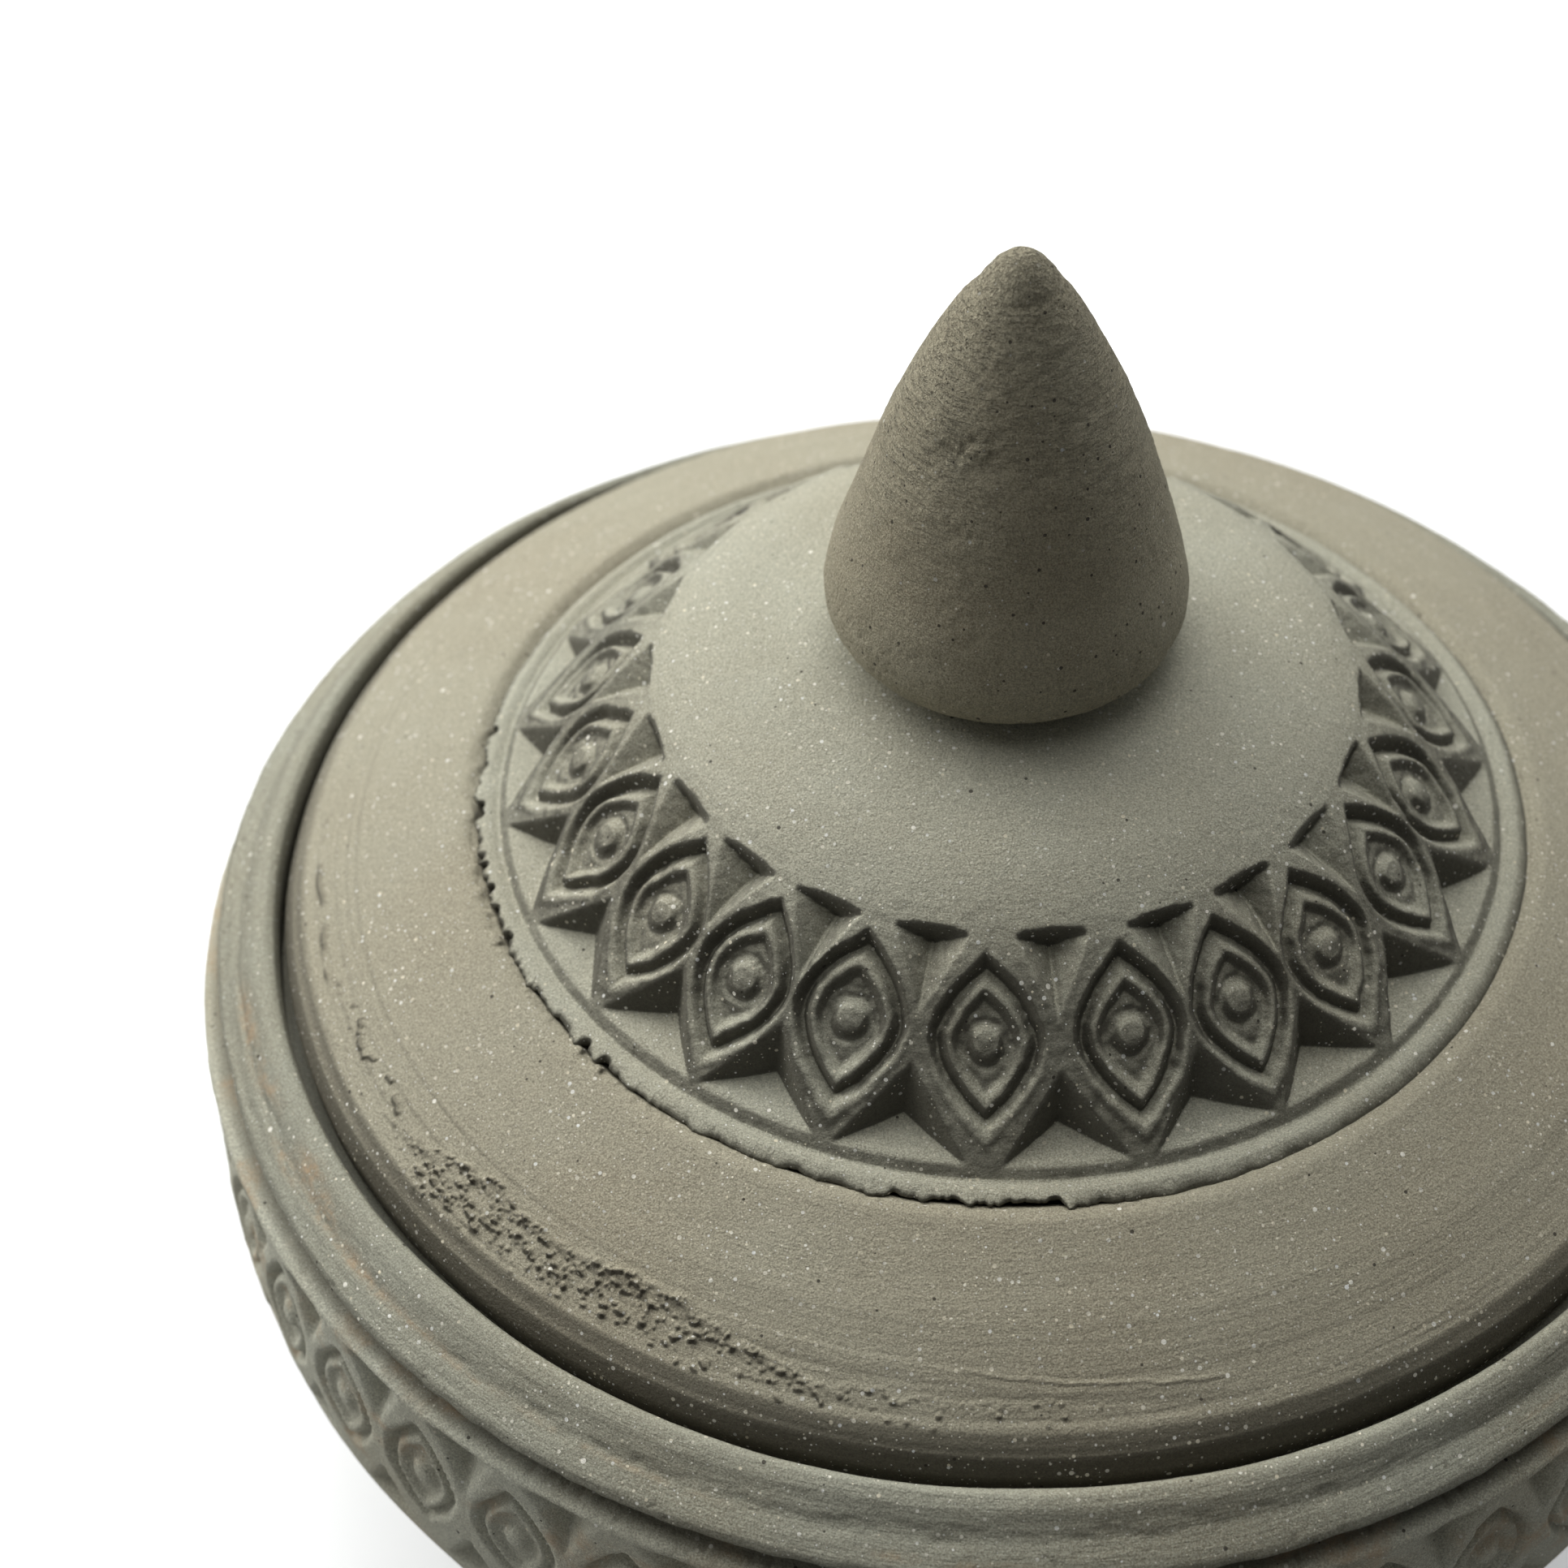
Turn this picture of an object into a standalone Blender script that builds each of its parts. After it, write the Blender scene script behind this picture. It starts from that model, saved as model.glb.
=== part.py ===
"""Round lidded clay pot, hand built: a bowl with a carved belly band, a rim coil that makes the lid's seat,
and a lid made of a carved dome, a flange coil round it and a turned knob luted on top.

Blender 4.5. Metres, +Z up. The origin is the centre of the flat base, and +Z is the pot's axis.
"""

import math

import bmesh
import bpy
from mathutils import Vector

MM = 0.001

# ---- driving dimensions, in millimetres ------------------------------------------------------------
SEGMENTS = 48              # facets round a turned piece
LID_RADIUS = 70.0          # outer radius of the lid's flange
CLEARANCE = 0.3            # gap left where one piece sits on another

# bowl
BELLY_RADIUS = 78.5        # widest radius of the bowl
BELLY_Z = 45.0             # height of the widest point
BELLY_DROP = 56.0          # semi-axis of the ellipse the wall follows below the widest point
SHOULDER_RADIUS = 77.8     # wall radius just under the rim groove
SHOULDER_Z = 61.2          # top of the thin fillet under the groove
WALL = 8.5                 # wall and floor thickness
BASE_CHAMFER = 1.6         # softened corner between base and wall
SEAT_Z = 62.2              # the ledge the lid rests on
SEAT_INNER_RADIUS = 63.0   # mouth of the bowl, inner edge of that ledge
GROOVE_RADIUS = 75.9       # bottom of the groove between wall and rim coil
THROAT_DEPTH = 11.0        # how far below the ledge the thickened lip runs back into the wall

# rim coil
COIL_INNER_RADIUS = 71.2   # wall of the lid's seat
COIL_CREST_Z = 67.8        # highest point of the rim
COIL_CREST_RADIUS = 72.7
COIL_CREASE = (74.7, 66.0)     # soft crease half way across the coil
COIL_LOWER_ROLL = (76.1, 65.2)
COIL_OUTER = (76.9, 63.9)      # sharp lower edge over the groove

# lid
DOME_TOP_Z = 98.3          # outside of the dome on the axis
BREAK_RADIUS = 33.4        # where the dome turns into the carved shoulder
BREAK_Z = 92.9
SHOULDER_FOOT = (48.1, 77.7)   # foot of the carved shoulder
SEAM_RADIUS = 50.4         # seam between dome and flange
SEAM_TOP_Z = 78.0
LID_WALL = 8.0
FLANGE_EDGE_Z = 69.0       # top of the flange just inside its rounded edge
FLANGE_UNDER_Z = 62.5      # the flat ring under the flange that sits on the ledge
FLANGE_FLAT_INNER = 62.0   # inner edge of that flat ring

# knob
KNOB_NECK_RADIUS = 10.8
KNOB_RADIUS = 16.3
KNOB_WIDEST_Z = 105.2
KNOB_TOP_Z = 139.5
KNOB_NUB_RADIUS = 2.4

# chip-carved triangles between the eye motifs
LID_MOTIFS = 22
LID_PHASE = 0.208          # share of a pitch from the front to the first chip
BELLY_MOTIFS = 44
BELLY_PHASE = 0.205

CLAY = (0.205, 0.180, 0.140, 1.0)
CLAY_RIM = (0.190, 0.172, 0.140, 1.0)
CLAY_LID = (0.230, 0.202, 0.155, 1.0)
CLAY_KNOB = (0.130, 0.110, 0.082, 1.0)


# ---- profiles: lists of (radius, height) in millimetres, closed by the last point joining the first ---

def belly_radius(z):
    """Outside radius of the bowl's wall at height z."""
    if z <= BELLY_Z:
        return BELLY_RADIUS * math.sqrt(1.0 - ((BELLY_Z - z) / BELLY_DROP) ** 2)
    share = (z - BELLY_Z) / (SHOULDER_Z - BELLY_Z)
    return BELLY_RADIUS - (BELLY_RADIUS - SHOULDER_RADIUS) * share * share


def inner_radius(z):
    """Inside radius of the bowl's wall at height z, below the thickened lip."""
    drop = BELLY_DROP - WALL
    if z <= BELLY_Z:
        return (BELLY_RADIUS - WALL) * math.sqrt(1.0 - ((BELLY_Z - z) / drop) ** 2)
    return BELLY_RADIUS - WALL


def bowl_profile():
    outer = [(0.0, 0.0), (belly_radius(0.0) - BASE_CHAMFER, 0.0)]
    steps = 9
    for i in range(steps + 1):
        z = BASE_CHAMFER + (BELLY_Z - BASE_CHAMFER) * i / steps
        outer.append((belly_radius(z), z))
    for i in range(1, 4):
        z = BELLY_Z + (SHOULDER_Z - 0.8 - BELLY_Z) * i / 3
        outer.append((belly_radius(z), z))
    outer += [
        (SHOULDER_RADIUS - 0.5, SHOULDER_Z + 0.6),
        (GROOVE_RADIUS, SEAT_Z),
        (SEAT_INNER_RADIUS + 0.8, SEAT_Z),
        (SEAT_INNER_RADIUS, SEAT_Z - 0.8),
    ]
    inner = []
    throat = 5
    for i in range(1, throat + 1):
        share = i / throat
        z = SEAT_Z - 1.6 - THROAT_DEPTH * share
        blend = 0.5 - 0.5 * math.cos(math.pi * share)
        inner.append((SEAT_INNER_RADIUS + (inner_radius(z) - SEAT_INNER_RADIUS) * blend, z))
    z_low = WALL + 1.2
    steps = 7
    for i in range(1, steps + 1):
        z = inner[throat - 1][1] + (z_low - inner[throat - 1][1]) * i / steps
        inner.append((inner_radius(z), z))
    r_low = inner_radius(z_low)
    inner += [(r_low - 4.0, WALL), (0.0, WALL)]
    return outer + inner


def coil_profile():
    low = SEAT_Z + CLEARANCE
    return [
        (COIL_INNER_RADIUS, low),
        (COIL_INNER_RADIUS + 3.0, low),
        (GROOVE_RADIUS, low),
        (COIL_OUTER[0] - 0.35, COIL_OUTER[1] - 0.55),
        COIL_OUTER,
        COIL_LOWER_ROLL,
        COIL_CREASE,
        (COIL_CREST_RADIUS + 1.2, COIL_CREST_Z - 0.7),
        (COIL_CREST_RADIUS, COIL_CREST_Z),
        (COIL_INNER_RADIUS + 0.4, COIL_CREST_Z - 0.6),
        (COIL_INNER_RADIUS, COIL_CREST_Z - 1.8),
    ]


def dome_height(r):
    """Outside height of the lid's dome and carved shoulder at radius r."""
    if r <= BREAK_RADIUS:
        return DOME_TOP_Z - (DOME_TOP_Z - BREAK_Z) * (r / BREAK_RADIUS) ** 2.6
    share = (r - BREAK_RADIUS) / (SHOULDER_FOOT[0] - BREAK_RADIUS)
    return BREAK_Z + (SHOULDER_FOOT[1] - BREAK_Z) * share


def flange_height(r):
    """Top of the flange at radius r, from the seam to just inside the rounded edge."""
    share = (r - SEAM_RADIUS) / (LID_RADIUS - 2.2 - SEAM_RADIUS)
    straight = SEAM_TOP_Z + (FLANGE_EDGE_Z - SEAM_TOP_Z) * share
    return straight + 0.45 * math.sin(math.pi * share)


def dome_profile():
    under = [(SEAM_RADIUS, 70.2), (46.5, 70.9)]
    steps = 8
    for i in range(1, steps + 1):
        r = 44.5 * (1.0 - i / steps)
        outer_r = min(r + 4.0 * (r / 44.5), SHOULDER_FOOT[0])
        under.append((r, dome_height(outer_r) - LID_WALL + 1.2 * (r / 44.5)))
    top = []
    for i in range(7):
        r = BREAK_RADIUS * i / 6
        top.append((r, dome_height(r)))
    for i in range(1, 4):
        r = BREAK_RADIUS + (SHOULDER_FOOT[0] - BREAK_RADIUS) * i / 3
        top.append((r, dome_height(r)))
    top += [(SEAM_RADIUS - 0.5, SEAM_TOP_Z), (SEAM_RADIUS, SEAM_TOP_Z - 0.4)]
    return under + top


def flange_profile():
    inner = SEAM_RADIUS + CLEARANCE
    points = [(inner, 69.8), (FLANGE_FLAT_INNER - 1.5, FLANGE_UNDER_Z + 1.0), (FLANGE_FLAT_INNER, FLANGE_UNDER_Z),
              (LID_RADIUS - 1.4, FLANGE_UNDER_Z), (LID_RADIUS - 0.3, FLANGE_UNDER_Z + 1.2)]
    centre, size = (LID_RADIUS - 2.9, 66.1), (2.9, 2.7)
    for i in range(5):
        a = math.radians(-8 + 76 * i / 4)
        points.append((centre[0] + size[0] * math.cos(a), centre[1] + size[1] * math.sin(a)))
    for i in range(4, -1, -1):
        r = inner + 0.3 + (LID_RADIUS - 3.6 - inner - 0.3) * i / 4
        points.append((r, flange_height(r)))
    points.append((inner, flange_height(inner) - 0.4))
    return points


def knob_profile():
    low = DOME_TOP_Z + CLEARANCE
    points = [(0.0, low), (KNOB_NECK_RADIUS, low), (KNOB_NECK_RADIUS - 0.3, low + 1.6), (KNOB_NECK_RADIUS + 1.0, low + 2.6)]
    # rounded underside, from the neck out to the widest point
    for i in range(1, 5):
        a = math.radians(-80 + 80 * i / 4)
        points.append((KNOB_RADIUS - 4.0 + 4.0 * math.cos(a), KNOB_WIDEST_Z + 4.2 * math.sin(a)))
    # ogive side up to the nub
    height = KNOB_TOP_Z - 1.2 - KNOB_WIDEST_Z
    steps = 9
    for i in range(1, steps + 1):
        t = i / steps
        r = KNOB_NUB_RADIUS + (KNOB_RADIUS - KNOB_NUB_RADIUS) * (1.0 - t ** 1.32)
        points.append((r, KNOB_WIDEST_Z + height * t))
    points += [(KNOB_NUB_RADIUS * 0.72, KNOB_TOP_Z - 0.3), (0.0, KNOB_TOP_Z)]
    return points


# ---- modelling tools ---------------------------------------------------------------------------------

def clear_scene():
    for obj in list(bpy.data.objects):
        bpy.data.objects.remove(obj, do_unlink=True)


def clay(name, colour, roughness):
    material = bpy.data.materials.new(name)
    material.use_nodes = True
    shader = material.node_tree.nodes["Principled BSDF"]
    shader.inputs["Base Color"].default_value = colour
    shader.inputs["Roughness"].default_value = roughness
    shader.inputs["Metallic"].default_value = 0.0
    material.diffuse_color = colour
    return material


def turned(name, profile, material, parent):
    """A closed profile in the XZ plane, spun round +Z into one solid."""
    mesh = bpy.data.meshes.new(name)
    bm = bmesh.new()
    verts = [bm.verts.new((r * MM, 0.0, z * MM)) for r, z in profile]
    edges = [bm.edges.new((verts[i], verts[i + 1])) for i in range(len(verts) - 1)]
    if profile[0][0] > 0.0 or profile[-1][0] > 0.0:
        edges.append(bm.edges.new((verts[-1], verts[0])))
    bmesh.ops.spin(bm, geom=verts + edges, cent=(0, 0, 0), axis=(0, 0, 1), angle=2 * math.pi,
                   steps=SEGMENTS, use_merge=True, use_duplicate=False)
    bmesh.ops.remove_doubles(bm, verts=bm.verts, dist=1e-6)
    bmesh.ops.dissolve_degenerate(bm, edges=bm.edges, dist=1e-7)
    bmesh.ops.recalc_face_normals(bm, faces=bm.faces)
    if bm.calc_volume(signed=True) < 0:
        bmesh.ops.reverse_faces(bm, faces=bm.faces)
    bm.to_mesh(mesh)
    bm.free()
    mesh.materials.append(material)
    mesh.shade_smooth()
    mesh.set_sharp_from_angle(angle=math.radians(35))
    obj = bpy.data.objects.new(name, mesh)
    bpy.context.scene.collection.objects.link(obj)
    obj.parent = parent
    return obj


def chips(name, count, phase, corners, depth_point, surface):
    """A ring of three-sided pyramids, one for each chip cut out of a turned surface.

    corners are three (offset along the ring, height) pairs in millimetres, and depth_point is the same for the
    deepest point with its depth under the surface. surface(height) gives (radius, height, normal radius, normal height).
    """
    mesh = bpy.data.meshes.new(name)
    bm = bmesh.new()
    for k in range(count):
        angle = 2 * math.pi * (k + phase) / count

        def place(along, height, depth):
            r, z, nr, nz = surface(height)
            r, z = r - nr * depth, z - nz * depth
            a = angle + along / r
            return Vector((r * math.sin(a), -r * math.cos(a), z)) * MM

        deep = place(*depth_point)
        tips = [place(a, h, 0.0) for a, h in corners]
        raised = [deep + (tip - deep) * 1.45 for tip in tips]
        verts = [bm.verts.new(p) for p in [deep] + raised]
        for tri in ((0, 1, 2), (0, 2, 3), (0, 3, 1), (3, 2, 1)):
            bm.faces.new([verts[i] for i in tri])
    bmesh.ops.recalc_face_normals(bm, faces=bm.faces)
    bm.to_mesh(mesh)
    bm.free()
    cutter = bpy.data.objects.new(name, mesh)
    bpy.context.scene.collection.objects.link(cutter)
    cutter.hide_render = True
    cutter.display_type = "WIRE"
    return cutter


def cut(target, cutter):
    modifier = target.modifiers.new("carve_" + cutter.name, "BOOLEAN")
    modifier.operation = "DIFFERENCE"
    modifier.solver = "EXACT"
    modifier.object = cutter


def shoulder_surface(distance):
    """Point and outward normal on the carved shoulder, at a distance down its slope from the break."""
    dr, dz = SHOULDER_FOOT[0] - BREAK_RADIUS, SHOULDER_FOOT[1] - BREAK_Z
    length = math.hypot(dr, dz)
    return (BREAK_RADIUS + dr * distance / length, BREAK_Z + dz * distance / length, -dz / length, dr / length)


def belly_surface(z):
    step = 0.5
    r = belly_radius(z)
    slope = (belly_radius(z + step) - belly_radius(z - step)) / (2 * step)
    length = math.hypot(1.0, slope)
    return (r, z, 1.0 / length, -slope / length)


def main():
    clear_scene()
    pot = bpy.data.objects.new("pot_body", None)
    lid = bpy.data.objects.new("lid_body", None)
    for empty in (pot, lid):
        bpy.context.scene.collection.objects.link(empty)
    lid.location = (0.0, 0.0, SEAT_Z * MM)       # on the lift axis, at the seat

    body_clay = clay("clay_body", CLAY, 0.9)
    rim_clay = clay("clay_rim", CLAY_RIM, 0.88)
    lid_clay = clay("clay_lid", CLAY_LID, 0.9)
    knob_clay = clay("clay_knob", CLAY_KNOB, 0.92)

    bowl = turned("pot_bowl", bowl_profile(), body_clay, pot)
    turned("pot_rim_coil", coil_profile(), rim_clay, pot)
    lid_pieces = [
        turned("lid_dome", dome_profile(), lid_clay, lid),
        turned("lid_flange", flange_profile(), lid_clay, lid),
        turned("lid_knob", knob_profile(), knob_clay, lid),
    ]
    for piece in lid_pieces:
        piece.location = (0.0, 0.0, -SEAT_Z * MM)   # meshes are drawn about the base centre
    dome = lid_pieces[0]

    # lid band: a shallow chip over each gap between eyes and a deep chip under it
    upper = chips("lid_upper_chips", LID_MOTIFS, LID_PHASE, [(-3.3, 0.4), (3.3, 0.4), (0.0, 6.8)], (0.0, 1.6, 1.7), shoulder_surface)
    lower = chips("lid_lower_chips", LID_MOTIFS, LID_PHASE, [(0.0, 11.2), (5.3, 19.2), (-5.3, 19.2)], (0.0, 16.4, 2.7), shoulder_surface)
    # belly band: the same pair round the wall, pointing at each other
    belly_upper = chips("belly_upper_chips", BELLY_MOTIFS, BELLY_PHASE, [(-3.9, 60.0), (3.9, 60.0), (0.0, 52.4)], (0.0, 58.4, 2.2), belly_surface)
    belly_lower = chips("belly_lower_chips", BELLY_MOTIFS, BELLY_PHASE, [(0.0, 46.1), (4.2, 38.3), (-4.2, 38.3)], (0.0, 40.9, 2.2), belly_surface)
    for target, cutters in ((dome, (upper, lower)), (bowl, (belly_upper, belly_lower))):
        for cutter in cutters:
            cut(target, cutter)


main()
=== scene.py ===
"""Looks of the round lidded clay pot: carved and stamped bands, turned knob, torn seams, and procedural clay.

The pieces are grids of revolution about the pot's axis. Each has a profile in millimetres and a height function that
raises or sinks its surface: stamped eyes, knife chips, turning marks, torn clay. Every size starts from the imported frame.
Angles are measured from the front (-Y), positive to the viewer's right.
"""

import math

import bpy
import numpy as np
from mathutils import Matrix, Vector


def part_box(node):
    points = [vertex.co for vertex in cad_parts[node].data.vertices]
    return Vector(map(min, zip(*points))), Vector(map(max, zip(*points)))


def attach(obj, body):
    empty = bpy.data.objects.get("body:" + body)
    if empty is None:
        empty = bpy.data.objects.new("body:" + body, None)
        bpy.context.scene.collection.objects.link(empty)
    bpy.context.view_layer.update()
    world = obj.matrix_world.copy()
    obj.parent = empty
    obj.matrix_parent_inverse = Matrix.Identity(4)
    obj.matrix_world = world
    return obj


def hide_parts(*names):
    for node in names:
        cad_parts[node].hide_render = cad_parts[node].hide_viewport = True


MM = 0.001
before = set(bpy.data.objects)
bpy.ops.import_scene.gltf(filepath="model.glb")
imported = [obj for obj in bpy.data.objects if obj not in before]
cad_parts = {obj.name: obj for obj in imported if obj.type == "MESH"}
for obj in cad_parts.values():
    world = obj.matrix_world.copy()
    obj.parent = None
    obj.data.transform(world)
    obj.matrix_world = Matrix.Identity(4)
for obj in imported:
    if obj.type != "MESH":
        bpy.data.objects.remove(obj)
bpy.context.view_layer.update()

# ---- what the frame says, in millimetres ---------------------------------------------------------------
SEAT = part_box("pot_bowl")[1].z / MM               # ledge the lid rests on
LID_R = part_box("lid_flange")[1].x / MM            # outer radius of the flange
COIL_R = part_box("pot_rim_coil")[1].x / MM
BOWL_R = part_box("pot_bowl")[1].x / MM
KNOB_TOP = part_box("lid_knob")[1].z / MM
DOME_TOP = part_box("lid_dome")[1].z / MM
K = LID_R / 70.0                                  # profiles below are drawn for a 70 mm flange
GAP = SEAT + 3.8                                  # height of the lid's widest line
LID_SHIFT = (0.55, 0.95)                          # the loose lid sits pushed to the back right in its seat


# ---- noise ---------------------------------------------------------------------------------------------

def lattice(i, j, k, seed):
    m = np.int64(0xFFFFFFFF)
    h = ((i & m) * np.int64(374761393) + (j & m) * np.int64(668265263) + (k & m) * np.int64(1274126177) + np.int64(seed * 97 + 13)) & m
    h = ((h ^ (h >> 13)) * np.int64(1103515245)) & m
    h = ((h ^ (h >> 15)) * np.int64(12345677)) & m
    return ((h ^ (h >> 16)) & np.int64(0xFFFFFF)).astype(float) / float(0xFFFFFF)


def noise(x, y, z, seed=0):
    """Smooth value noise in -1..1 with a cell size of one."""
    i, j, k = np.floor(x).astype(np.int64), np.floor(y).astype(np.int64), np.floor(z).astype(np.int64)
    fx, fy, fz = x - i, y - j, z - k
    fx, fy, fz = [t * t * t * (t * (t * 6 - 15) + 10) for t in (fx, fy, fz)]
    total = 0.0
    for a in (0, 1):
        for b in (0, 1):
            for c in (0, 1):
                weight = (fx if a else 1 - fx) * (fy if b else 1 - fy) * (fz if c else 1 - fz)
                total = total + weight * lattice(i + a, j + b, k + c, seed)
    return total * 2 - 1


def fbm(x, y, z, seed=0, octaves=4, gain=0.5):
    total, amplitude, norm = 0.0, 1.0, 0.0
    for o in range(octaves):
        total = total + amplitude * noise(x * 2.03 ** o + 7.1 * o, y * 2.03 ** o - 3.3 * o, z * 2.03 ** o + 1.7 * o, seed + o)
        norm += amplitude
        amplitude *= gain
    return total / norm


def cells(x, y, seed=0):
    """Distance to the nearest of one random point per unit cell, and that point's own random number."""
    i, j = np.floor(x).astype(np.int64), np.floor(y).astype(np.int64)
    best, tag = np.full(x.shape, 9.0), np.zeros(x.shape)
    zero = np.zeros_like(i)
    for a in (-1, 0, 1):
        for b in (-1, 0, 1):
            px = i + a + lattice(i + a, j + b, zero, seed)
            py = j + b + lattice(i + a, j + b, zero, seed + 1)
            d = np.hypot(x - px, y - py)
            nearer = d < best
            best = np.where(nearer, d, best)
            tag = np.where(nearer, lattice(i + a, j + b, zero, seed + 2), tag)
    return best, tag


def step(a, b, x):
    t = np.clip((x - a) / (b - a), 0, 1)
    return t * t * (3 - 2 * t)


def bump_at(x, centre, width):
    return np.exp(-((x - centre) / width) ** 2)


# ---- grids of revolution ---------------------------------------------------------------------------------

class Profile:
    """A polyline of (radius, height, row spacing, columns) in millimetres, softened and sampled into rings.

    The spacing and columns of a point hold for the stretch that starts there. soft is the rounding, also in millimetres.
    """

    def __init__(self, points, soft=0.3, closed=False):
        pts = [tuple(p) for p in points]
        if closed:
            pts = pts + [pts[0]]
        xy = np.array([(p[0], p[1]) for p in pts], float)
        length = np.concatenate([[0], np.cumsum(np.hypot(*np.diff(xy, axis=0).T))])
        fine = np.arange(0, length[-1], 0.04)
        r, z = np.interp(fine, length, xy[:, 0]), np.interp(fine, length, xy[:, 1])
        reach = int(soft / 0.04)
        if reach:
            kernel = np.exp(-np.linspace(-2.2, 2.2, 2 * reach + 1) ** 2)
            kernel /= kernel.sum()
            if closed:
                pad = lambda v: np.concatenate([v[-reach:], v, v[:reach]])
                r, z = np.convolve(pad(r), kernel, "valid"), np.convolve(pad(z), kernel, "valid")
            else:
                r = np.convolve(np.concatenate([-r[reach:0:-1], r, -r[-2:-reach - 2:-1]]), kernel, "valid")
                z = np.convolve(np.concatenate([z[reach:0:-1], z, z[-2:-reach - 2:-1]]), kernel, "valid")
                r[0] = r[-1] = 0.0
        rows, columns = [], []
        for n in range(len(pts) - 1):
            count = max(1, int(round((length[n + 1] - length[n]) / pts[n][2])))
            for c in range(count):
                rows.append(length[n] + (length[n + 1] - length[n]) * c / count)
                columns.append(pts[n][3])
        if not closed:
            rows.append(length[-1])
            columns.append(1)
            columns[0] = 1
        self.s = np.array(rows)
        self.corner = length
        at = lambda v, s: np.interp(s, fine, v)
        self.r, self.z = at(r, self.s), at(z, self.s)
        h = 0.12
        ends = (lambda s: s % length[-1]) if closed else (lambda s: np.clip(s, 0, length[-1] - 0.05))
        dr = at(r, ends(self.s + h)) - at(r, ends(self.s - h))
        dz = at(z, ends(self.s + h)) - at(z, ends(self.s - h))
        size = np.maximum(np.hypot(dr, dz), 1e-9)
        self.nr, self.nz = dz / size, -dr / size      # outward for profiles that run base, outside, top
        self.columns, self.closed = columns, closed


def revolve(name, profile, height, angle=lambda u: u * 2 * math.pi, centre=(0.0, 0.0)):
    """Spins the profile into a mesh. height(theta, s, r, z) returns (rise along the normal, outward push, {attribute: value}).

    The attribute "lift" isn't stored: it raises the surface straight up.
    """
    start, theta, s, r, z, nr, nz = [0], [], [], [], [], [], []
    for i, n in enumerate(profile.columns):
        a = np.zeros(1) if n == 1 else angle(np.arange(n) / n)
        theta.append(a)
        for store, source in ((s, profile.s), (r, profile.r), (z, profile.z), (nr, profile.nr), (nz, profile.nz)):
            store.append(np.full(n, source[i]))
        start.append(start[-1] + n)
    theta, s, r, z, nr, nz = [np.concatenate(v) for v in (theta, s, r, z, nr, nz)]
    rise, push, attributes = height(theta, s, r, z)
    off_axis = np.clip(r / 0.5, 0, 1)
    rr = np.maximum(r + (nr * rise + push) * off_axis, 0.0)
    zz = z + nz * rise + attributes.get("lift", 0.0)
    co = np.stack([rr * np.sin(theta) + centre[0], -rr * np.cos(theta) + centre[1], zz], 1) * MM
    loops, sizes = [], []
    pairs = list(zip(range(len(profile.columns) - 1), range(1, len(profile.columns))))
    if profile.closed:
        pairs.append((len(profile.columns) - 1, 0))
    for a, b in pairs:
        na, nb, sa, sb = profile.columns[a], profile.columns[b], start[a], start[b]
        if na == nb:
            j = np.arange(na)
            k = (j + 1) % na
            loops.append(np.stack([sa + j, sa + k, sb + k, sb + j], 1).ravel())
            sizes.append(np.full(na, 4))
            continue
        flip = na < nb
        if flip:
            na, nb, sa, sb = nb, na, sb, sa
        ratio = na // nb
        j = np.arange(na)
        k = (j + 1) % na
        near = (j // ratio + (1 if nb > 1 else 0) * (j % ratio >= ratio // 2 + ratio % 2)) % nb if nb > 1 else np.zeros(na, int)
        tri = np.stack([sa + j, sa + k, sb + near], 1)
        loops.append((tri[:, ::-1] if flip else tri).ravel())
        sizes.append(np.full(na, 3))
        if nb > 1:
            c = np.arange(nb)
            middle = c * ratio + ratio // 2 + ratio % 2
            tri = np.stack([sb + c, sa + middle, sb + (c + 1) % nb], 1)
            loops.append((tri[:, ::-1] if flip else tri).ravel())
            sizes.append(np.full(nb, 3))
    loops, sizes = np.concatenate(loops), np.concatenate(sizes)
    firsts = np.concatenate([[0], np.cumsum(sizes)[:-1]])
    # the sign of the volume says which way round the faces are
    a, b, c = co[loops[firsts]], co[loops[firsts + 1]], co[loops[firsts + 2]]
    volume = np.einsum("ij,ij->i", a, np.cross(b, c)).sum()
    quads = firsts[sizes == 4]
    volume += np.einsum("ij,ij->i", co[loops[quads]], np.cross(co[loops[quads + 2]], co[loops[quads + 3]])).sum()
    if volume < 0:
        order = np.arange(len(loops))
        for size in (3, 4):
            f = firsts[sizes == size]
            for m in range(size):
                order[f + m] = f + (size - 1 - m)
        loops = loops[order]
    mesh = bpy.data.meshes.new(name)
    mesh.vertices.add(len(co))
    mesh.vertices.foreach_set("co", co.astype(np.float32).ravel())
    mesh.loops.add(len(loops))
    mesh.loops.foreach_set("vertex_index", loops.astype(np.int32))
    mesh.polygons.add(len(sizes))
    mesh.polygons.foreach_set("loop_start", firsts.astype(np.int32))
    mesh.polygons.foreach_set("loop_total", sizes.astype(np.int32))
    mesh.polygons.foreach_set("use_smooth", np.ones(len(sizes), bool))
    # the first attribute carries painted shade for hollows, pits, gaps and undercuts; ochre and wear are the clay's own
    # marks
    for key in ("recess_shade", "ochre", "wear"):
        attribute = mesh.attributes.new(key, "FLOAT", "POINT")
        value = attributes.get(key)
        attribute.data.foreach_set("value", (np.zeros(len(co)) if value is None else value).astype(np.float32))
    mesh.update(calc_edges=True)
    mesh.validate()
    obj = bpy.data.objects.new(name, mesh)
    bpy.context.scene.collection.objects.link(obj)
    return obj


# ---- the stamped eye and the knife chips ---------------------------------------------------------------------

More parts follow.
